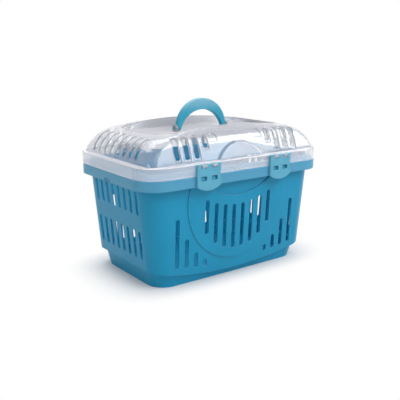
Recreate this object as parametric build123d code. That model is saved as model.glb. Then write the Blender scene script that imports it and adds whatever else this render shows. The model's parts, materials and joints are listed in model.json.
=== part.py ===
from build123d import *
from math import sqrt
import os

# Small-pet carrier, millimetres. +X runs along its length, the front with the two
# latches faces -Y, +Z is up, and the origin is the middle of the face it stands on.

# Plan of the rim, which the tub's skirt and the lid's skirt share
rim_length = 400.0
rim_width = 257.0
rim_corner = 46.0

# Walls
tub_wall = 2.0
floor_thickness = 2.4
lid_wall = 2.0

# Tub: skirt under the rim, tapered body, and the foot set in under a sagging step
rim_height = 196.4
tub_skirt_drop = 18.0
tub_skirt_round = 1.2
body_inset = 12.0
body_corner = 38.0
step_length = 348.0
step_width = 215.0
step_corner = 31.0
step_corner_height = 32.0
step_middle_height = 12.0
foot_length = 331.0
foot_width = 207.0
foot_corner = 29.0
base_length = 323.0
base_width = 193.0
base_corner = 33.0
upstand_height = 8.0
upstand_inset = 14.0

# Round panel that stands proud of the long walls, cut off at the top by a finger scoop
panel_radius = 110.5
panel_height = 144.0
panel_proud = 2.0
scoop_radius = 114.0
scoop_bottom = 150.0

# Ventilation slots: one pitch serves every wall of tub and lid
slot_pitch = 20.0
slot_width = 8.6
slots_each_half = 4
middle_slot_bottom_radius = 85.0
middle_slot_bottom_centre = 135.5
middle_slot_top_radius = 165.0
middle_slot_top = 133.7
corner_slot_above_step = 12.6
corner_slot_top = 124.0
corner_slot_gap = 14.0
end_low_slot_bottom = 50.0
end_low_slot_top = 102.0
end_high_slot_bottom = 130.0
end_slot_rim_gap = 6.0
notch_width = 20.0
notch_height = 6.0

# Lid: skirt, ledge, and a dome with quarter-ellipse ends and leaning sides
lid_skirt_height = 21.4
lid_skirt_round = 1.6
dome_end_ledge = 14.0
dome_side_ledge = 11.0
dome_corner = 14.0
dome_corner_gain = 18.0
shoulder_start = 125.0
shoulder_height = 45.0
shoulder_in = 8.5
shoulder_power = 8
side_lean = 14.8
crown_height = 8.0
crown_in = 14.0
crown_margin = 0.3
crown_overlap = 4.0
lid_panel_radius = 76.0
lid_panel_below_rim = 23.4
lid_panel_proud = 4.0
lid_panel_bevel = 29.0
lid_slot_width = 9.4
lid_slot_bottom = 5.7
lid_slot_top = 39.5
lid_slot_arc_radius = 118.0
lid_slot_arc_below_rim = 52.4
end_vent_bottom = 6.5
end_vent_top = 28.0
flute_width = 13.0
flute_depth = 1.0
flute_foot = 3.0
end_flute_reach = 157.0
side_flute_reach = 97.0

# Tray in the top of the lid that the folded handle lies in
tray_length = 292.0
tray_width = 158.0
tray_corner = 44.0
tray_below_shoulder = 8.8
tray_draft = 5.0

# Handle: a crescent on two pins that turn in the ears of the tray
handle_rise = 51.8
handle_outer_radius = 55.5
handle_foot_thickness = 7.0
handle_middle_thickness = 20.5
handle_depth = 11.0
handle_edge = 1.5
pivot_above_tray = 6.2
pivot_diameter = 5.0
pivot_length = 5.0
pivot_clearance = 0.08
ear_thickness = 4.0
ear_width = 13.0
ear_gap = 0.4

# Clips: a bar at the top turns in the lid's hooks, windows hang over catches below
clip_spacing = 161.0
clip_width = 48.0
clip_plate = 2.4
clip_side_height = 36.0
clip_tail = 7.5
clip_flange = 1.8
clip_flange_top = 4.4
clip_gap = 0.3
bar_diameter = 4.0
bar_out = 4.2
bar_below_lid_top = 2.8
window_width = 12.5
window_spacing = 22.0
window_corner = 1.0
upper_window_bottom = 5.8
lower_window_drop = 22.6
lower_window_height = 7.5
hook_width = 10.0
hook_thickness = 2.0
hook_clearance = 0.08
hook_tip_rise = 1.2
catch_width = 10.5
catch_height = 6.0
catch_top_reach = 1.0
catch_foot = 1.5

# Places that follow from the sizes above
lid_top = rim_height + lid_skirt_height
skirt_face = rim_width / 2
tub_skirt_bottom = rim_height - tub_skirt_drop
dome_half_length = rim_length / 2 - dome_end_ledge
dome_half_width = rim_width / 2 - dome_side_ledge
corner_slot_radius = panel_radius + corner_slot_gap
lid_panel_height = rim_height - lid_panel_below_rim
lid_slot_arc_centre = rim_height - lid_slot_arc_below_rim
over_lid = lid_top + shoulder_height + 2 * crown_height
tray_floor_height = lid_top + shoulder_height - tray_below_shoulder
bar_y = skirt_face + bar_out
bar_z = lid_top - bar_below_lid_top
pivot_z = tray_floor_height + pivot_above_tray
handle_top = pivot_z + handle_rise
handle_centre = handle_top - handle_outer_radius
ear_x = handle_outer_radius + ear_gap + ear_thickness / 2


def rounded_plan(length, width, corner, height):
    """A rounded rectangle lying at a height."""
    return Plane.XY.offset(height) * RectangleRounded(length, width, corner)


def rounded_block(plan, top):
    """An upright block on a rounded rectangle (length, width, corner, height)."""
    return extrude(rounded_plan(*plan), top - plan[3])


def tapered_block(low, high):
    """A block that changes evenly from one rounded rectangle to another above it."""
    return loft([rounded_plan(*low), rounded_plan(*high)], ruled=True)


def between(low, high, height):
    """The rounded rectangle that a tapered block has at a height."""
    share = (height - low[3]) / (high[3] - low[3])
    sizes = [a + (b - a) * share for a, b in zip(low[:3], high[:3])]
    return (*sizes, height)


def shrunk(plan, wall, height=None):
    """A rounded rectangle drawn in by a wall, at its own height or another."""
    length, width, corner, old_height = plan
    new_height = old_height if height is None else height
    return (length - 2 * wall, width - 2 * wall, corner - wall, new_height)


def front_prism(face, reach=rim_width):
    """Carries a face drawn in the front view through the carrier, along Y."""
    return extrude(Plane.XZ * face, reach / 2, both=True)


def end_prism(face, reach=rim_length):
    """Carries a face drawn in the end view through the carrier, along X."""
    return extrude(Plane.YZ * face, reach / 2, both=True)


def slot_face(across, bottom, top, width):
    """An upright slot with round ends, seen square on."""
    return Pos(across, (bottom + top) / 2) * SlotOverall(top - bottom, width, rotation=90)


def disc_face(radius, height):
    return Pos(0, height) * Circle(radius)


def block_face(left, right, bottom, top):
    return Pos((left + right) / 2, (bottom + top) / 2) * Rectangle(right - left, top - bottom)


def slot_centres(count=slots_each_half, first=0):
    """Places of the slots on one side of the middle, the first half a pitch out."""
    return [slot_pitch * (index + 0.5) for index in range(first, first + count)]


def both_sides(places):
    return [side * place for place in places for side in (-1, 1)]


def arc_height(radius, across):
    """How far an arc is above or below its centre at a distance to the side."""
    return sqrt(max(radius ** 2 - across ** 2, 0))


# Tub

rim_plan = (rim_length, rim_width, rim_corner, rim_height)
body_top = shrunk(rim_plan, body_inset)[:2] + (body_corner, rim_height)
body_step = (step_length, step_width, step_corner, step_corner_height)
body_base = between(body_step, body_top, 0)
foot_base = (base_length, base_width, base_corner, 0)
foot_step = (foot_length, foot_width, foot_corner, step_corner_height)


def step_line(across):
    """Height of the step, whose line sags towards the middle of the long walls."""
    half = step_length / 2
    rise = step_corner_height - step_middle_height
    radius = (half ** 2 + rise ** 2) / (2 * rise)
    return step_middle_height + radius - arc_height(radius, across)


def under_step():
    """Everything under the step."""
    side = rim_length / 2
    edge = step_line(side)
    line = ThreePointArc((-side, edge), (0, step_middle_height), (side, edge))
    below = -floor_thickness
    frame = Polyline((side, edge), (side, below), (-side, below), (-side, edge))
    return front_prism(make_face(line + frame), rim_length)


def tub_form(wall):
    """The tub's outside with wall 0, or its hollow with the wall's thickness."""
    upper = tapered_block(shrunk(body_base, wall), shrunk(body_top, wall))
    foot_top = between(foot_base, foot_step, 2 * step_corner_height)
    foot = tapered_block(shrunk(foot_base, wall), shrunk(foot_top, wall))
    lower = Pos(0, 0, wall) * under_step()
    return (upper - lower) + (upper & foot & lower)


def round_panels():
    """Round panels on both long walls, with the finger scoop cut from their tops."""
    high = (body_top[0], body_top[1] + 2 * panel_proud, *body_top[2:])
    low = (body_base[0], body_base[1] + 2 * panel_proud, *body_base[2:])
    scoop = disc_face(scoop_radius, scoop_bottom + scoop_radius)
    return tapered_block(low, high) & front_prism(disc_face(panel_radius, panel_height) - scoop)


def long_wall_slots():
    """Slots inside the round panel, between two arcs, and slots beside it."""
    faces = []
    top_centre = middle_slot_top + middle_slot_top_radius
    for across in both_sides(slot_centres()):
        bottom = middle_slot_bottom_centre - arc_height(middle_slot_bottom_radius, across)
        top = top_centre - arc_height(middle_slot_top_radius, across)
        faces.append(slot_face(across, bottom, top, slot_width))
    for across in both_sides(slot_centres(slots_each_half, slots_each_half - 1)):
        bottom = step_line(across) + corner_slot_above_step
        top = min(panel_height - arc_height(corner_slot_radius, across), corner_slot_top)
        faces.append(slot_face(across, bottom, top, slot_width))
    return [front_prism(face) for face in faces]


def end_wall_slots():
    """Two rows of slots in each end wall."""
    faces = []
    high_top = tub_skirt_bottom - end_slot_rim_gap
    for across in both_sides(slot_centres()):
        faces.append(slot_face(across, end_low_slot_bottom, end_low_slot_top, slot_width))
        faces.append(slot_face(across, end_high_slot_bottom, high_top, slot_width))
    return [end_prism(face) for face in faces]


def window_places():
    """Middles of the windows of both clips on one long side."""
    return [clip + half for clip in both_sides([clip_spacing / 2]) for half in both_sides([window_spacing / 2])]


def on_both_long_sides(piece):
    """A piece drawn on the back, and its mirror image on the front."""
    return [piece, mirror(piece, Plane.XZ)]


def catch(reach):
    """A ramped lug on the back of the skirt, out to where it reaches."""
    bottom = bar_z - lower_window_drop - lower_window_height / 2
    top = bottom + catch_height
    root = skirt_face - tub_wall / 2
    profile = Polyline(
        (root, top),
        (skirt_face + catch_top_reach, top),
        (reach, bottom + catch_foot),
        (reach, bottom),
        (root, bottom),
        close=True,
    )
    return end_prism(make_face(profile), catch_width)


def catches():
    """Lugs that hold the rear clips by their windows, and shorter ones at the front."""
    rear = catch(bar_y)
    front = mirror(catch(bar_y - clip_plate / 2 - clip_gap), Plane.XZ)
    return [Pos(x, 0, 0) * lug for x in window_places() for lug in (rear, front)]


def rim_skirt(bottom, top, wall, edge_round):
    """A skirt that follows the rim's plan, closed on top and rounded at its edge."""
    plan = (rim_length, rim_width, rim_corner, bottom)
    block = rounded_block(plan, top)
    block = fillet(block.faces().sort_by(Axis.Z)[-1].edges(), edge_round)
    return block - rounded_block(shrunk(plan, wall), top - wall)


def make_tub():
    skirt = rim_skirt(tub_skirt_bottom, rim_height, tub_wall, tub_skirt_round)
    notch = Pos(0, tub_skirt_bottom) * Rectangle(notch_width, 2 * notch_height)
    upstand = shrunk(rim_plan, upstand_inset)
    upstand_top = rim_height + upstand_height
    mouth = rounded_block(shrunk(upstand, tub_wall, rim_height - tub_wall), upstand_top)
    tub = tub_form(0) + round_panels() + (skirt - end_prism(notch)) + rounded_block(upstand, upstand_top)
    hollow = tub_form(tub_wall) & rounded_block((*rim_plan[:3], floor_thickness), rim_height - tub_wall)
    return tub - hollow - mouth - long_wall_slots() - end_wall_slots() + catches()


# Lid

def dome_plan(rise, inset, proud):
    """The dome's rounded rectangle at a height over the ledge, drawn in by a wall."""
    share = rise / (shoulder_height - inset)
    end = dome_half_length - shoulder_start - inset
    half_length = shoulder_start + end * sqrt(1 - share ** 2)
    lean = side_lean * rise / shoulder_height + shoulder_in * share ** shoulder_power
    half_width = dome_half_width + proud - inset - lean
    corner = dome_corner + dome_corner_gain * share - inset
    return (2 * half_length, 2 * half_width, corner, lid_top + rise)


def crown(plan):
    """The gentle arch over the shoulders, leaning in along both long sides."""
    length, width, corner, height = shrunk(plan, crown_margin)
    low = height - crown_overlap
    side = length / 2
    spring = height - crown_margin
    top = height + crown_height
    arch = ThreePointArc((-side, spring), (0, top), (side, spring))
    frame = Polyline((side, spring), (side, low), (-side, low), (-side, spring))
    levels = [(length, width, corner, low), (length, width, corner, height)]
    levels.append((length, width - 2 * crown_in, corner, top))
    block = loft([rounded_plan(*level) for level in levels], ruled=True)
    return front_prism(make_face(arch + frame)) & block


def dome_body(inset, proud=0.0, deep=0.0):
    """The dome up to its shoulders, drawn in by a wall and reaching below the ledge."""
    shares = (0, 0.3, 0.55, 0.75, 0.88, 0.96, 1)
    plans = [dome_plan(share * (shoulder_height - inset), inset, proud) for share in shares]
    body = loft([rounded_plan(*plan) for plan in plans])
    if deep:
        body += rounded_block((*plans[0][:3], lid_top - deep), lid_top)
    return body


def dome_crown(inset):
    """The crown that belongs on a dome drawn in by a wall."""
    return crown(dome_plan(shoulder_height - inset, inset, 0))


def lid_panels(inset, deep=0.0):
    """Round panels on the lid's long sides, with a bevelled edge."""
    start = dome_half_width - side_lean
    face = Plane.XZ.offset(start) * disc_face(lid_panel_radius - inset, lid_panel_height)
    panel = extrude(face, rim_width / 2 - start, taper=lid_panel_bevel)
    proud = dome_body(inset, lid_panel_proud, deep)
    return [proud & piece for piece in on_both_long_sides(panel)]


def tray(grow):
    """The handle's tray, or with grow the block that its walls and floor fill."""
    low = (tray_length - 2 * tray_draft, tray_width - 2 * tray_draft, tray_corner - tray_draft)
    high = (tray_length, tray_width, tray_corner, over_lid)
    floor = tray_floor_height - grow
    return tapered_block(shrunk((*low, floor), -grow), shrunk(high, -grow))


def side_slots(shortest):
    """Slots in the lid's long sides: place, bottom and top of each."""
    slots = []
    top = lid_top + lid_slot_top
    for across in both_sides(slot_centres(slots_each_half + 1, slots_each_half - 2)):
        arc = lid_slot_arc_centre + arc_height(lid_slot_arc_radius, across)
        bottom = max(lid_top + lid_slot_bottom, arc)
        if top - bottom > shortest:
            slots.append((across, bottom, top))
    return slots


def flute_blocks():
    """Blocks over the shoulders, in line with the lid's slots, that grooves are cut with."""
    tools = []
    for across, bottom, _ in side_slots(0):
        run = rim_width / 2 - side_flute_reach + flute_width
        groove = Pos(across, side_flute_reach + run / 2) * SlotOverall(run, flute_width, rotation=90)
        block = Pos(0, 0, bottom - flute_foot) * extrude(groove, over_lid - bottom)
        tools += on_both_long_sides(block)
    for across in both_sides(slot_centres()):
        run = rim_length / 2 - end_flute_reach + flute_width
        groove = Pos(end_flute_reach + run / 2, across) * SlotOverall(run, flute_width)
        foot = lid_top + end_vent_bottom - flute_foot
        block = Pos(0, 0, foot) * extrude(groove, over_lid - foot)
        tools += [block, mirror(block, Plane.YZ)]
    return tools


def hooks():
    """Curled hooks on the skirt that carry the bars of the clips."""
    inner = bar_diameter / 2 + hook_clearance
    outer = inner + hook_thickness
    root = skirt_face - lid_wall / 2
    curl = Pos(bar_y, bar_z) * Circle(outer)
    arm = block_face(root, bar_y, bar_z - outer, bar_z + hook_tip_rise)
    above = block_face(root, bar_y + outer, bar_z + hook_tip_rise, bar_z + outer)
    face = curl + arm - above - Pos(bar_y, bar_z) * Circle(inner)
    hook = end_prism(face, hook_width)
    return [piece for x in window_places() for piece in on_both_long_sides(Pos(x, 0, 0) * hook)]


def ears():
    """Ears on the tray floor, each with the hole that a pin of the handle turns in."""
    body = block_face(-ear_width / 2, ear_width / 2, tray_floor_height - lid_wall / 2, pivot_z)
    hole = Pos(0, pivot_z) * Circle(pivot_diameter / 2 + pivot_clearance)
    ear = end_prism(body + Pos(0, pivot_z) * Circle(ear_width / 2) - hole, ear_thickness)
    return [Pos(x, 0, 0) * ear for x in both_sides([ear_x])]


def make_lid():
    skirt = rim_skirt(rim_height, lid_top, lid_wall, lid_skirt_round)
    hollow = dome_body(lid_wall, 0, 2 * lid_wall) + dome_crown(lid_wall) + lid_panels(lid_wall, 2 * lid_wall)
    tray_walls = tray(lid_wall)
    slots = [front_prism(slot_face(*slot, lid_slot_width)) - tray_walls for slot in side_slots(lid_slot_width)]
    vents = [
        end_prism(slot_face(across, lid_top + end_vent_bottom, lid_top + end_vent_top, slot_width))
        for across in both_sides(slot_centres())
    ]
    fluted = dome_body(0) - flute_blocks() + dome_body(flute_depth)
    lid = skirt + fluted + dome_crown(0) + lid_panels(0)
    lid = lid - (hollow - tray_walls) - tray(0)
    return lid - slots - vents + hooks() + ears()


# Handle

def make_handle():
    half_gap = handle_outer_radius - handle_foot_thickness
    rise = handle_outer_radius - handle_middle_thickness
    inner_radius = (half_gap ** 2 + rise ** 2) / (2 * rise)
    foot = pivot_z - handle_depth / 2
    outer = handle_outer_radius
    arch = disc_face(outer, handle_centre) & block_face(-outer, outer, handle_centre, handle_top)
    legs = block_face(-outer, outer, foot, handle_centre)
    face = arch + legs - disc_face(inner_radius, handle_centre + rise - inner_radius)
    strap = front_prism(face, handle_depth)
    arcs = strap.edges().filter_by(GeomType.CIRCLE).filter_by(lambda edge: edge.length > handle_depth)
    strap = fillet(arcs, handle_edge)
    swing = slot_face(0, foot, handle_top + handle_depth, handle_depth)
    pin = Pos(0, pivot_z) * Circle(pivot_diameter / 2)
    pins = end_prism(pin, 2 * (outer + pivot_length)) - end_prism(pin, 2 * (outer - handle_foot_thickness / 2))
    return (strap & end_prism(swing)) + pins


# Clips

def clip_outline():
    """A clip seen square on: square shoulders at the bar and a rounded tail."""
    half = clip_width / 2
    side = bar_z - clip_side_height
    sides = Polyline((-half, side), (-half, bar_z), (half, bar_z), (half, side))
    return make_face(sides + ThreePointArc((half, side), (0, side - clip_tail), (-half, side)))


def clip_windows():
    """Upper windows for the hooks and lower windows over the catches."""
    low = bar_z - lower_window_drop
    upper_height = upper_window_bottom + bar_diameter
    upper_middle = bar_z - upper_window_bottom + upper_height / 2
    faces = []
    for across in both_sides([window_spacing / 2]):
        faces.append(Pos(across, upper_middle) * RectangleRounded(window_width, upper_height, window_corner))
        faces.append(Pos(across, low) * RectangleRounded(window_width, lower_window_height, window_corner))
    return faces


def make_clip():
    """A clip on the back long side, with its middle at x 0."""
    face = clip_outline() - clip_windows()
    plate = Pos(0, bar_y, 0) * front_prism(face, clip_plate)
    bar = Pos(0, bar_y, bar_z) * Rot(0, 90, 0) * Cylinder(bar_diameter / 2, clip_width)
    inner = skirt_face + clip_gap
    flange_face = block_face(inner, bar_y, bar_z - clip_side_height, bar_z - clip_flange_top)
    flange = end_prism(flange_face, clip_flange)
    middle = (clip_width - clip_flange) / 2
    return plate + bar + [Pos(x, 0, 0) * flange for x in both_sides([middle])]


def make_parts():
    """Every piece of the carrier by name."""
    back_clip = make_clip()
    front_clip = mirror(back_clip, Plane.XZ)
    left = Pos(-clip_spacing / 2, 0, 0)
    right = Pos(clip_spacing / 2, 0, 0)
    return {
        "tub": make_tub(),
        "lid": make_lid(),
        "handle": make_handle(),
        "front_left_clip": left * front_clip,
        "front_right_clip": right * front_clip,
        "rear_left_clip": left * back_clip,
        "rear_right_clip": right * back_clip,
    }


def main():
    os.makedirs("parts", exist_ok=True)
    for name, piece in make_parts().items():
        export_step(piece, f"parts/{name}.step")


if __name__ == "__main__":
    main()
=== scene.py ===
"""Looks of a small-pet carrier, laid out as an add-on and run as a script.

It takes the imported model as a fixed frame, gives each moulding its rounded shading and
its finish, and sets up the pale studio and the camera. Lengths are in metres.
"""

import json
import math

import bpy
import numpy as np
from bpy.props import FloatProperty, FloatVectorProperty, PointerProperty
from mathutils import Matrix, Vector


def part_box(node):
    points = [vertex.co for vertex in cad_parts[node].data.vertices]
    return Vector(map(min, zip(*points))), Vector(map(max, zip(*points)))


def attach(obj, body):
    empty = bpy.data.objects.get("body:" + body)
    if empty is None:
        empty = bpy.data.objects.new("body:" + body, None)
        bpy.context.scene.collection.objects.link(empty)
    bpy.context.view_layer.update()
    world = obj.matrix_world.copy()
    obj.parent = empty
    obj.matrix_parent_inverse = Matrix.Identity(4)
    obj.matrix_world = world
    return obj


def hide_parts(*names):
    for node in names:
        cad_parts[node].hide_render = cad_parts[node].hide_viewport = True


bl_info = {
    "name": "Pet carrier finish",
    "version": (1, 0, 0),
    "blender": (4, 5, 0),
    "location": "View3D > Sidebar > Carrier",
    "description": "Finishes, studio and camera for a clear-lidded pet carrier",
    "category": "Object",
}

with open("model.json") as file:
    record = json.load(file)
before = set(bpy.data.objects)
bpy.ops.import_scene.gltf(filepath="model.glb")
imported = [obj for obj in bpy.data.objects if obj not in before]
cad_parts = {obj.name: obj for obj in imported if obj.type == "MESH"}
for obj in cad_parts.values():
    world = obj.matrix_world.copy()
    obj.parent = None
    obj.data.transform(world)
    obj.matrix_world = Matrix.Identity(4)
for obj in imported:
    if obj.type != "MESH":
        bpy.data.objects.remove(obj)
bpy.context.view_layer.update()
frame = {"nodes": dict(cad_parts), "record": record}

clips = ("front_left_clip", "front_right_clip", "rear_left_clip", "rear_right_clip")
body_of_node = {
    node: body
    for body, nodes in frame["record"]["behaviour"]["bodies"].items()
    for node in nodes
}


# Rounded shading for the mouldings

shell_smooth_angle = math.radians(32)
grip_smooth_angle = math.radians(35)
shortest = 1e-20


def unit_rows(vectors):
    """Each row of an array brought to length 1."""
    lengths = np.linalg.norm(vectors, axis=1, keepdims=True)
    return vectors / np.maximum(lengths, shortest)


def corner_normals(faces, face_normals, smooth_angle):
    """Shading normals of a mesh, one for each corner of each triangle.

    The normal at a corner is the sum of the area-weighted normals of all triangles
    that meet in its vertex and lean less than smooth_angle from its own triangle.
    """
    # Corners in the order of their vertices, so that those that meet follow each other
    corner_vertex = faces.reshape(-1)
    corner_face = np.repeat(np.arange(len(faces)), 3)
    order = np.argsort(corner_vertex, kind="stable")
    vertex = corner_vertex[order]
    face = corner_face[order]
    count = np.bincount(vertex)
    start = np.concatenate(([0], np.cumsum(count)[:-1]))

    # Every pair of corners that meet, a corner with itself among them
    times = count[vertex]
    own = np.repeat(np.arange(len(vertex)), times)
    first = np.repeat(np.cumsum(times) - times, times)
    other = start[vertex[own]] + np.arange(len(own)) - first

    # The sum over the pairs whose triangles lean little enough
    unit = unit_rows(face_normals)
    near = (unit[face[own]] * unit[face[other]]).sum(1) > math.cos(smooth_angle)
    total = np.zeros((len(vertex), 3))
    for axis in range(3):
        weight = face_normals[face[other], axis] * near
        total[:, axis] = np.bincount(own, weight, len(vertex))
    result = np.empty_like(total)
    result[order] = unit_rows(total)
    return result


def joined_triangles(source):
    """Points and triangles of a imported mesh, joined where its triangles' corners meet.

    A triangle that closes up to a line, or lies on its own reverse, is left out.
    """
    places = np.empty(len(source.vertices) * 3, np.float32)
    source.vertices.foreach_get("co", places)
    corners = np.empty(len(source.loops), np.int32)
    source.loops.foreach_get("vertex_index", corners)
    points, joined = np.unique(places.reshape(-1, 3), axis=0, return_inverse=True)
    faces = joined.reshape(-1)[corners].reshape(-1, 3)
    faces = faces[(faces != np.roll(faces, 1, axis=1)).all(axis=1)]
    sorted_faces = np.sort(faces, axis=1)
    _, first, copies = np.unique(sorted_faces, axis=0, return_index=True, return_counts=True)
    return points.astype(float), faces[np.sort(first[copies == 1])]


def rounded_copy(node, smooth_angle):
    """A moulding with its curves shaded round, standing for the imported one.

    A triangle's normal is the cross product of two of its sides, so its length is
    twice the triangle's area.
    """
    points, faces = joined_triangles(frame["nodes"][node].data)
    side_a = points[faces[:, 1]] - points[faces[:, 0]]
    side_b = points[faces[:, 2]] - points[faces[:, 0]]
    face_normals = np.cross(side_a, side_b)
    mesh = bpy.data.meshes.new(node + "_shaded")
    mesh.from_pydata(points, [], faces)
    mesh.shade_smooth()
    mesh.normals_split_custom_set(corner_normals(faces, face_normals, smooth_angle))
    piece = bpy.data.objects.new(node + "_shaded", mesh)
    bpy.context.scene.collection.objects.link(piece)
    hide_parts(node)
    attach(piece, body_of_node[node])
    return piece


def dress(nodes, material, smooth_angle):
    """Gives each moulding its rounded shading and one finish."""
    for node in nodes:
        if node not in frame["nodes"]:
            raise RuntimeError(f"the frame holds no moulding called {node}")
        piece = rounded_copy(node, smooth_angle)
        piece.data.materials.append(material)


# Finishes

class Amount:
    """A number that changes over a surface, so that sums on it add Math nodes."""

    def __init__(self, finish, socket):
        self.finish = finish
        self.socket = socket

    def sum_with(self, operation, first, second):
        """The result of a Math node on two amounts or numbers."""
        node = self.finish.add("ShaderNodeMath", {"operation": operation}, {0: first, 1: second})
        return Amount(self.finish, node.outputs[0])

    def __add__(self, other):
        return self.sum_with("ADD", self, other)

    def __radd__(self, other):
        return self.sum_with("ADD", other, self)

    def __sub__(self, other):
        return self.sum_with("SUBTRACT", self, other)

    def __rsub__(self, other):
        return self.sum_with("SUBTRACT", other, self)

    def __mul__(self, other):
        return self.sum_with("MULTIPLY", self, other)

    def __rmul__(self, other):
        return self.sum_with("MULTIPLY", other, self)

    def __truediv__(self, other):
        return self.sum_with("DIVIDE", self, other)

    def __rtruediv__(self, other):
        return self.sum_with("DIVIDE", other, self)

    def __pow__(self, other):
        return self.sum_with("POWER", self, other)

    def __rpow__(self, other):
        return self.sum_with("POWER", other, self)

    def __abs__(self):
        return self.sum_with("ABSOLUTE", self, 0.0)


class Nodes:
    """The emptied node tree of a material or a world."""

    # A Mix node's sockets for colours, whose names its other sockets share
    first_colour = 6
    second_colour = 7
    mixed_colour = 2

    def __init__(self, owner):
        self.owner = owner
        owner.use_nodes = True
        self.tree = owner.node_tree
        self.tree.nodes.clear()

    def add(self, kind, settings=None, sockets=None):
        """A node of a kind with its settings, and its sockets' values or links."""
        node = self.tree.nodes.new(kind)
        for name, value in (settings or {}).items():
            setattr(node, name, value)
        for name, value in (sockets or {}).items():
            source = value.socket if isinstance(value, Amount) else value
            if isinstance(source, bpy.types.NodeSocket):
                self.tree.links.new(source, node.inputs[name])
            else:
                node.inputs[name].default_value = source
        return node

    def blend(self, amount, first, second):
        """A colour between two, each a colour or another blend, by an amount."""
        ends = [(*end, 1) if isinstance(end, tuple) else end for end in (first, second)]
        settings = {"data_type": "RGBA", "clamp_factor": True}
        sockets = {"Factor": amount, self.first_colour: ends[0], self.second_colour: ends[1]}
        return self.add("ShaderNodeMix", settings, sockets).outputs[self.mixed_colour]

    def seen(self):
        """1 to the camera, in gloss and through glass, 0 for the light on everything else."""
        rays = self.add("ShaderNodeLightPath").outputs
        to_camera = Amount(self, rays["Is Camera Ray"])
        in_gloss = Amount(self, rays["Is Glossy Ray"])
        through_glass = Amount(self, rays["Is Transmission Ray"])
        return to_camera + in_gloss + through_glass


class Finish(Nodes):
    """The node tree of a new material, whose patterns lie still on the piece."""

    bevel_samples = 6
    outline_power = 4
    even_slant = 0.5

    # Cosines of how far the normal has turned where an edge starts and where it is full
    edge_start = 0.99
    edge_full = 0.85

    def __init__(self, name):
        super().__init__(bpy.data.materials.new(name))
        self.place = self.add("ShaderNodeTexCoord").outputs["Object"]

    def noise(self, size, detail=2.0):
        """Mottling from 0 to 1 whose patches are about a size."""
        sockets = {"Vector": self.place, "Scale": 1 / size, "Detail": detail}
        return Amount(self, self.add("ShaderNodeTexNoise", None, sockets).outputs["Fac"])

    def parts(self):
        """The place's three parts: along the carrier, across it and above the floor."""
        node = self.add("ShaderNodeSeparateXYZ", None, {"Vector": self.place})
        return [Amount(self, output) for output in node.outputs]

    def height(self):
        """Height above the floor."""
        return self.parts()[2]

    def outline(self, length, width):
        """1 on a rounded rectangle in plan, less inside it and more outside.

        It is the d of (x / half length) ^ 4 + (y / half width) ^ 4 = d ^ 4.
        """
        along, across, _ = self.parts()
        power = self.outline_power
        total = abs(along / (length / 2)) ** power + abs(across / (width / 2)) ** power
        return total ** (1 / power)

    def ramp(self, amount, low, high):
        """Rises smoothly from 0 to 1 while an amount goes from low to high."""
        sockets = {"Value": amount, "From Min": low, "From Max": high}
        node = self.add("ShaderNodeMapRange", {"interpolation_type": "SMOOTHSTEP"}, sockets)
        return Amount(self, node.outputs["Result"])

    def soft_edges(self, radius):
        """Normals that turn round every edge with a radius."""
        node = self.add("ShaderNodeBevel", {"samples": self.bevel_samples}, {"Radius": radius})
        return node.outputs["Normal"]

    def edges(self, reach):
        """1 on moulded edges and 0 on the walls between them, out to a reach."""
        rounded = self.soft_edges(reach)
        flat = self.add("ShaderNodeNewGeometry").outputs["Normal"]
        sockets = {0: rounded, 1: flat}
        node = self.add("ShaderNodeVectorMath", {"operation": "DOT_PRODUCT"}, sockets)
        alike = Amount(self, node.outputs["Value"])
        return self.ramp(alike, self.edge_start, self.edge_full)

    def slant(self):
        """0 where a wall is seen square on, up to 1 where it is seen edge on."""
        node = self.add("ShaderNodeLayerWeight", None, {"Blend": self.even_slant})
        return Amount(self, node.outputs["Facing"])

    def bump(self, amount, depth, normal):
        """Normals with an amount's relief of a depth."""
        sockets = {"Height": amount, "Distance": depth, "Strength": 1.0, "Normal": normal}
        return self.add("ShaderNodeBump", None, sockets).outputs["Normal"]

    def show(self, shader):
        """The material, with a shader on its surface."""
        self.add("ShaderNodeOutputMaterial", None, {"Surface": shader})
        return self.owner


def darker(colour, share):
    """A colour with only a share of its light."""
    return tuple(value * share for value in colour)


def lighter(colour, share):
    """A colour carried part of the way to white."""
    return tuple(value + (1 - value) * share for value in colour)


# Moulded plastic

plastic_ior = 1.49
satin_specular = 0.22
satin_roughness = 0.22
clip_roughness = 0.2
flow_roughness = 0.1
skin_roughness = 0.05
wear_roughness = 0.25

# Between which values of the flow noise the colour goes from its darkest share to all of it
flow_low = 0.3
flow_high = 0.7
flow_shade = 0.94

# How far the painted highlight on edges reaches, in radii, its share, and how far painted light
# goes to white
edge_highlight_reach = 1.5
edge_highlight_share = 0.5
painted_light_whitening = 0.2


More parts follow.
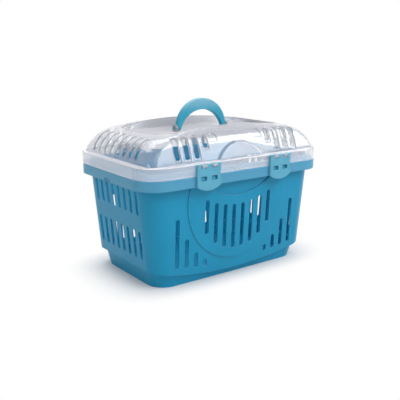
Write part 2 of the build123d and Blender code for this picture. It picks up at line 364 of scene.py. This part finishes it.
def moulded_plastic(name, colour, sizes, roughness, pale=None):
    """Opaque satin plastic: faint flow mottling, a fine skin and softly rounded edges.

    Its edges are painted paler, a painted highlight, and so is what pale says, a function
    of the finish that gives the share of more painted light. It is worn dull just above the floor.
    """
    finish = Finish(name)
    flow = finish.noise(sizes.flow_size, detail=3.0)
    skin = finish.noise(sizes.skin_size)
    wave = finish.noise(sizes.wave_size, detail=1.0)
    ragged_height = finish.height() + sizes.wear_ragged * flow
    wear = 1 - finish.ramp(ragged_height, sizes.wear_full, sizes.wear_end)
    relief = finish.soft_edges(sizes.edge_radius)
    relief = finish.bump(wave, sizes.wave_depth, relief)
    relief = finish.bump(skin, sizes.skin_depth, relief)
    # Painted highlight along the edges, plus the painted light that pale adds
    painted_light = edge_highlight_share * finish.edges(edge_highlight_reach * sizes.edge_radius)
    if pale:
        painted_light = painted_light + pale(finish)
    mottling = finish.ramp(flow, flow_low, flow_high)
    tint = finish.blend(mottling, darker(colour, flow_shade), colour)
    rough = roughness + flow_roughness * flow + skin_roughness * skin + wear_roughness * wear
    sockets = {
        "Base Color": finish.blend(painted_light, tint, lighter(colour, painted_light_whitening)),
        "Roughness": rough,
        "Normal": relief,
        "IOR": plastic_ior,
        "Specular IOR Level": satin_specular,
    }
    return finish.show(finish.add("ShaderNodeBsdfPrincipled", None, sockets).outputs[0])


# Clear plastic

clear_roughness = 0.02
frost_roughness = 0.6
milk_roughness = 0.3
milk_specular = 0.3

# The lid's waves, and its skin and edges against those of the opaque mouldings
clear_wave_size = 0.03
clear_skin_spread = 1.5
clear_skin_share = 0.4
clear_rounding = 2

# How softly the skirts and the tray end, and how far over the lid's skirt the tray starts
skirt_blur = 0.001
tray_rise = 0.03
tray_rise_blur = 0.01
tray_blur = 0.04

# The milk's colour on tray, on the painted grey lines (painted shade) and on the skirt (whiter, a
# painted reflection), and the share of the tint that lamps shine through
tray_shade = 0.54
painted_line_shade = 0.18
skirt_painted_reflection = 0.6
let_through = 0.92

# How much milk there is: in patches all over, with the slant, and on the lid's parts, with more on
# the painted lines and on the skirt's painted reflection
patch_size = 0.05
patch_low = 0.8
patch_swing = 0.4
slant_cloud = 0.4
slant_power = 3
edge_on_cloud = 0.5
edge_on_power = 10
skirt_reflection_cloud = 0.15
painted_line_cloud = 0.9
tray_cloud = 0.55


def clear_plastic(name, sizes, skirt_top):
    """Clear moulded plastic, milky on its skirt and where it is seen edge on; the skirt's milk is
    painted whiter, a painted reflection.

    Its tray is frosted, its edges carry painted grey lines, a painted shade that stands for
    refraction at edges, and lamps shine through it.
    """
    finish = Finish(name)
    tint = tuple(sizes.lid_tint)
    milk_colour = tuple(sizes.lid_milk)
    wave = finish.noise(clear_wave_size, detail=1.5)
    skin = finish.noise(clear_skin_spread * sizes.skin_size)
    relief = finish.soft_edges(clear_rounding * sizes.edge_radius)
    relief = finish.bump(wave, sizes.wave_depth, relief)
    relief = finish.bump(skin, clear_skin_share * sizes.skin_depth, relief)

    # 1 on the painted grey edge lines, the skirt with its painted reflection, and the tray, and 0
    # elsewhere
    height = finish.height()
    line = finish.edges(sizes.lid_line)
    skirt = 1 - finish.ramp(height, skirt_top - skirt_blur, skirt_top)
    tray_outline = finish.outline(sizes.tray_length, sizes.tray_width)
    in_tray = 1 - finish.ramp(tray_outline, 1 - tray_blur, 1 + tray_blur)
    tray_start = skirt_top + tray_rise
    tray = finish.ramp(height, tray_start, tray_start + tray_rise_blur) * in_tray

    # The clear plastic and the milk in it
    glass = {
        "Base Color": (*tint, 1),
        "Roughness": clear_roughness + skin_roughness * skin + frost_roughness * tray,
        "Normal": relief,
        "IOR": plastic_ior,
        "Transmission Weight": 1.0,
    }
    # Painted reflection: the skirt's milk painted whiter; painted shade: darker grey lines along
    # the edges
    paint = finish.blend(tray, milk_colour, darker(milk_colour, tray_shade))
    paint = finish.blend(skirt, paint, lighter(milk_colour, skirt_painted_reflection))
    paint = finish.blend(line, paint, darker(milk_colour, painted_line_shade))
    milk = {
        "Base Color": paint,
        "Roughness": milk_roughness,
        "Normal": relief,
        "Specular IOR Level": milk_specular,
    }
    clear = finish.add("ShaderNodeBsdfPrincipled", None, glass).outputs[0]
    milky = finish.add("ShaderNodeBsdfPrincipled", None, milk).outputs[0]

    # The share of milk, which rises fast where a wall is seen edge on
    slant = finish.slant()
    cloud = sizes.lid_haze * (patch_low + patch_swing * finish.noise(patch_size))
    cloud = cloud + slant_cloud * slant ** slant_power + edge_on_cloud * slant ** edge_on_power
    cloud = cloud + skirt_reflection_cloud * skirt + painted_line_cloud * line + tray_cloud * tray
    body = finish.add("ShaderNodeMixShader", None, {0: cloud, 1: clear, 2: milky}).outputs[0]

    # An open way for the light of the lamps
    open_colour = (*darker(tint, let_through), 1)
    open_way = finish.add("ShaderNodeBsdfTransparent", None, {"Color": open_colour}).outputs[0]
    lamp_ray = finish.add("ShaderNodeLightPath").outputs["Is Shadow Ray"]
    surface = finish.add("ShaderNodeMixShader", None, {0: lamp_ray, 1: body, 2: open_way})
    return finish.show(surface.outputs[0])


# Studio

white = (1, 1, 1)
black = (0, 0, 0)

# The floor's colour for the light that it throws back on the carrier
floor_bounce = (0.9, 0.9, 0.9)

# What the lamps face, and the width of the camera's sensor in millimetres
lamp_target = Vector((0, 0, 0.13))
sensor_width = 36


def floor_finish(name, studio):
    """A pale floor that is white to the camera and keeps the carrier's shadow.

    Near the foot its paint is grey and its glow low, a painted shadow that deepens the cast one,
    and the paint fades into white away from the foot.
    """
    finish = Finish(name)
    from_foot = finish.outline(studio.foot_length, studio.foot_width)
    far = finish.ramp(from_foot, studio.painted_shadow_fade_start, studio.painted_shadow_fade_end)
    seen = finish.seen()
    # Painted shadow: grey paint near the foot, gone where far reaches 1
    paint = finish.blend(far, tuple(studio.floor_shadow_paint), black)
    paint = finish.blend(seen, floor_bounce, paint)
    # Little glow near the foot, part of the painted shadow, and full white glow away from it
    glow = studio.floor_glow + (1 - studio.floor_glow) * far
    light = finish.blend(seen * glow, black, white)
    lit = finish.add("ShaderNodeBsdfDiffuse", None, {"Color": paint}).outputs[0]
    shine = finish.add("ShaderNodeEmission", None, {"Color": light, "Strength": 1.0}).outputs[0]
    return finish.show(finish.add("ShaderNodeAddShader", None, {0: lit, 1: shine}).outputs[0])


def white_surround(ambient):
    """White to the camera, to gloss and through glass, and a plain grey light otherwise."""
    surround = Nodes(bpy.data.worlds.new("studio_surround"))
    light = surround.blend(surround.seen(), (ambient,) * 3, white)
    background = surround.add("ShaderNodeBackground", None, {"Color": light, "Strength": 1.0})
    surround.add("ShaderNodeOutputWorld", None, {"Surface": background.outputs[0]})
    bpy.context.scene.world = surround.owner


def towards(azimuth, elevation):
    """The direction from the carrier to a place at an azimuth and an elevation, in radians.

    An azimuth of 0 is the front, and it grows towards the right end.
    """
    flat = math.cos(elevation)
    return Vector((math.sin(azimuth) * flat, -math.cos(azimuth) * flat, math.sin(elevation)))


def aim(obj, place, target):
    """Puts a lamp or camera at a place, looking at a target."""
    obj.location = place
    obj.rotation_euler = (place - target).to_track_quat("Z", "Y").to_euler()


def softbox(name, azimuth, elevation, distance, width, height, watts, diffuse=True, glossy=True):
    """A rectangular lamp that faces the carrier, its angles in degrees.

    With diffuse or glossy off, it doesn't light matt colour or doesn't show in gloss.
    """
    lamp = bpy.data.lights.new(name, "AREA")
    lamp.shape = "RECTANGLE"
    lamp.size = width
    lamp.size_y = height
    lamp.energy = watts
    obj = bpy.data.objects.new(name, lamp)
    obj.visible_diffuse = diffuse
    obj.visible_glossy = glossy
    bpy.context.scene.collection.objects.link(obj)
    away = distance * towards(math.radians(azimuth), math.radians(elevation))
    aim(obj, lamp_target + away, lamp_target)


def floor_plane(half_side, material):
    """A flat square under the carrier."""
    corners = half_side * np.array([(-1, -1, 0), (1, -1, 0), (1, 1, 0), (-1, 1, 0)])
    mesh = bpy.data.meshes.new("studio_floor")
    mesh.from_pydata(corners, [], [(0, 1, 2, 3)])
    mesh.materials.append(material)
    obj = bpy.data.objects.new("studio_floor", mesh)
    bpy.context.scene.collection.objects.link(obj)


def photo_camera(studio):
    """The camera at the photograph's angle."""
    lens = bpy.data.cameras.new("photo_camera")
    lens.lens = studio.lens
    lens.sensor_width = sensor_width
    camera = bpy.data.objects.new("photo_camera", lens)
    bpy.context.scene.collection.objects.link(camera)
    target = Vector(studio.target)
    aim(camera, target + studio.distance * towards(studio.azimuth, studio.elevation), target)
    bpy.context.scene.camera = camera


# What a user would change

def colour_setting(name, description, default):
    """A colour that a user may change."""
    return FloatVectorProperty(
        name=name, description=description, default=default, min=0, max=1, subtype="COLOR"
    )


def length_setting(name, description, default, lowest=0.0):
    """A length that a user may change."""
    return FloatProperty(
        name=name, description=description, default=default, min=lowest, unit="LENGTH"
    )


def angle_setting(name, description, degrees):
    """An angle that a user may change."""
    return FloatProperty(
        name=name, description=description, default=math.radians(degrees), unit="ROTATION"
    )


class CarrierFinishes(bpy.types.PropertyGroup):
    """Colours and surface sizes of the mouldings."""

    tub_colour: colour_setting("Tub", "Colour of the tub", (0.008, 0.268, 0.465))
    clip_colour: colour_setting("Clips", "Colour of the clips", (0.105, 0.375, 0.530))
    handle_colour: colour_setting("Handle", "Colour of the handle", (0.045, 0.390, 0.560))
    lid_tint: colour_setting("Lid tint", "Tint of the clear lid", (0.90, 0.905, 0.92))
    lid_milk: colour_setting("Lid milk", "Colour of the lid's haze", (0.68, 0.68, 0.74))
    lid_haze: FloatProperty(
        name="Lid haze", description="Share of milky haze in the lid", default=0.1, min=0, max=1
    )
    tray_length: length_setting("Tray length", "Length of the lid's tray", 0.292, 0.01)
    tray_width: length_setting("Tray width", "Width of the lid's tray", 0.158, 0.01)
    rim_width: length_setting("Rim width", "Width of the rim over its skirts", 0.257, 0.01)
    tub_skirt_drop: length_setting("Tub skirt", "How far the tub's skirt hangs", 0.018)
    lid_skirt_height: length_setting("Lid skirt", "Height of the lid's skirt", 0.0214)
    edge_radius: length_setting("Edge radius", "Softening of moulded edges", 0.0006)
    # The lid's grey line is painted shade along its edges
    lid_line: length_setting("Lid line", "Width of the grey line along the lid's edges", 0.0011)
    flow_size: length_setting("Flow marks", "Size of the moulding's flow marks", 0.07, 0.001)
    skin_size: length_setting("Skin grain", "Size of the moulded skin's grain", 0.0012, 0.0001)
    skin_depth: length_setting("Skin depth", "Depth of the moulded skin's grain", 0.00001)
    wave_size: length_setting("Wave size", "Size of the faint waves in flat walls", 0.035, 0.001)
    wave_depth: length_setting("Wave depth", "Depth of the faint waves in flat walls", 0.00012)
    wear_full: length_setting("Wear", "Height up to which the foot is worn dull", 0.0015)
    wear_end: length_setting("Wear's end", "Height over which there is no wear", 0.009)
    wear_ragged: length_setting("Wear's edge", "How far the wear's height varies", 0.004)


class CarrierStudio(bpy.types.PropertyGroup):
    """Camera, floor and light."""

    azimuth: angle_setting("Azimuth", "Camera's angle round the carrier", -36.2766)
    elevation: angle_setting("Elevation", "Camera's angle over the floor", 14.1122)
    distance: length_setting("Distance", "Camera to its target", 1.1636, 0.1)
    target: FloatVectorProperty(
        name="Target",
        description="Point looked at",
        default=(-0.00116, 0.00084, 0.11604),
        subtype="TRANSLATION",
    )
    lens: FloatProperty(
        name="Lens", description="Focal length", default=54.0, min=1, unit="CAMERA"
    )
    ambient: FloatProperty(
        name="Ambient", description="Strength of the light from all round", default=0.52, min=0
    )
    floor_side: length_setting("Floor", "Half side of the floor", 6.0, 1.0)
    # Grey floor paint and low glow near the foot make a painted shadow round it
    floor_shadow_paint: colour_setting("Floor colour", "Paint near the foot", (0.64, 0.68, 0.72))
    floor_glow: FloatProperty(
        name="Floor glow", description="Share of white near the foot", default=0.04, min=0, max=1
    )
    foot_length: length_setting("Foot length", "Length of the foot on the floor", 0.323, 0.01)
    foot_width: length_setting("Foot width", "Width of the foot on the floor", 0.193, 0.01)
    painted_shadow_fade_start: FloatProperty(
        name="Fade start", description="Outline of the foot where white begins", default=0.9, min=0
    )
    painted_shadow_fade_end: FloatProperty(
        name="Fade end", description="Outline of the foot where all is white", default=1.62, min=0
    )


# Steps

def rim_height():
    """Height of the tub's rim, where the lid's lowest edge rests."""
    lowest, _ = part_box("lid")
    return lowest[2]


class CARRIER_OT_tub(bpy.types.Operator):
    """Shade the tub and give it its blue plastic"""

    bl_idname = "carrier.tub"
    bl_label = "Finish tub"

    skirt_sheen_share = 0.36
    catch_blur = 0.0003

    def execute(self, context):
        sizes = context.scene.carrier_finishes
        skirt_bottom = rim_height() - sizes.tub_skirt_drop
        skirt_face = sizes.rim_width / 2

        # Painted sheen: the tub's skirt under the rim is painted paler, as if lit
        def painted_skirt_sheen(finish):
            """The share of painted sheen on the skirt, without the catches that stand out from it,
            which keep the plain colour and so look darker in the clip windows.
            """
            _, across, height = finish.parts()
            skirt = finish.ramp(height, skirt_bottom, skirt_bottom + skirt_blur)
            catches = finish.ramp(abs(across), skirt_face, skirt_face + self.catch_blur)
            return self.skirt_sheen_share * skirt - catches

        colour = tuple(sizes.tub_colour)
        material = moulded_plastic("tub_blue", colour, sizes, satin_roughness, painted_skirt_sheen)
        dress(["tub"], material, shell_smooth_angle)
        return {"FINISHED"}


class CARRIER_OT_lid(bpy.types.Operator):
    """Shade the lid and give it its clear plastic"""

    bl_idname = "carrier.lid"
    bl_label = "Finish lid"

    def execute(self, context):
        sizes = context.scene.carrier_finishes
        skirt_top = rim_height() + sizes.lid_skirt_height
        dress(["lid"], clear_plastic("lid_clear", sizes, skirt_top), shell_smooth_angle)
        return {"FINISHED"}


class CARRIER_OT_handle(bpy.types.Operator):
    """Shade the handle and give it its light blue plastic"""

    bl_idname = "carrier.handle"
    bl_label = "Finish handle"

    top_light_share = 0.9

    def execute(self, context):
        sizes = context.scene.carrier_finishes
        low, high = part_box("handle")
        middle = (low[2] + high[2]) / 2

        # Painted light: the handle's top is painted paler, as if lit from above
        def painted_top_light(finish):
            """The share of painted light from above, which rises towards the grip's top."""
            return self.top_light_share * finish.ramp(finish.height(), middle, high[2])

        colour = tuple(sizes.handle_colour)
        material = moulded_plastic("handle_blue", colour, sizes, satin_roughness, painted_top_light)
        dress(["handle"], material, grip_smooth_angle)
        return {"FINISHED"}


class CARRIER_OT_clips(bpy.types.Operator):
    """Shade the four clips and give them their light blue plastic"""

    bl_idname = "carrier.clips"
    bl_label = "Finish clips"

    def execute(self, context):
        sizes = context.scene.carrier_finishes
        colour = tuple(sizes.clip_colour)
        material = moulded_plastic("clip_blue", colour, sizes, clip_roughness)
        dress(clips, material, grip_smooth_angle)
        return {"FINISHED"}


class CARRIER_OT_stage(bpy.types.Operator):
    """Set up the pale floor, the soft lamps and the camera"""

    bl_idname = "carrier.stage"
    bl_label = "Set up studio"

    def execute(self, context):
        studio = context.scene.carrier_studio
        context.scene.view_settings.view_transform = "Standard"
        white_surround(studio.ambient)
        floor_plane(studio.floor_side, floor_finish("floor_white", studio))
        softbox(
            "key_softbox", azimuth=12, elevation=46, distance=2.2,
            width=1.6, height=1.2, watts=24.5, glossy=False,
        )
        softbox(
            "back_softbox", azimuth=165, elevation=58, distance=2.2,
            width=1.4, height=1.0, watts=22, glossy=False,
        )
        softbox(
            "gloss_card", azimuth=44, elevation=31, distance=2.0,
            width=1.5, height=1.0, watts=26, diffuse=False,
        )
        softbox(
            "fill_softbox", azimuth=-45, elevation=4, distance=2.2,
            width=1.2, height=0.8, watts=1, glossy=False,
        )
        softbox(
            "edge_strip", azimuth=-78, elevation=15, distance=1.6,
            width=0.6, height=1.2, watts=8, diffuse=False,
        )
        photo_camera(studio)
        return {"FINISHED"}


class CARRIER_PT_panel(bpy.types.Panel):
    """Sizes, colours and steps in the 3D view's sidebar"""

    bl_idname = "CARRIER_PT_panel"
    bl_label = "Pet carrier"
    bl_space_type = "VIEW_3D"
    bl_region_type = "UI"
    bl_category = "Carrier"

    def draw(self, context):
        for group in (context.scene.carrier_finishes, context.scene.carrier_studio):
            box = self.layout.box()
            for name in group.__annotations__:
                box.prop(group, name)
        for step in steps:
            self.layout.operator(step.bl_idname)


steps = (CARRIER_OT_tub, CARRIER_OT_lid, CARRIER_OT_handle, CARRIER_OT_clips, CARRIER_OT_stage)
classes = (CarrierFinishes, CarrierStudio, *steps, CARRIER_PT_panel)


def register():
    """Adds the settings, the steps and the panel."""
    for cls in classes:
        bpy.utils.register_class(cls)
    bpy.types.Scene.carrier_finishes = PointerProperty(type=CarrierFinishes)
    bpy.types.Scene.carrier_studio = PointerProperty(type=CarrierStudio)


def unregister():
    """Takes away what register added."""
    del bpy.types.Scene.carrier_studio
    del bpy.types.Scene.carrier_finishes
    for cls in reversed(classes):
        bpy.utils.unregister_class(cls)


def main():
    """Runs every step."""
    register()
    bpy.ops.carrier.tub()
    bpy.ops.carrier.lid()
    bpy.ops.carrier.handle()
    bpy.ops.carrier.clips()
    bpy.ops.carrier.stage()


if __name__ == "__main__":
    main()
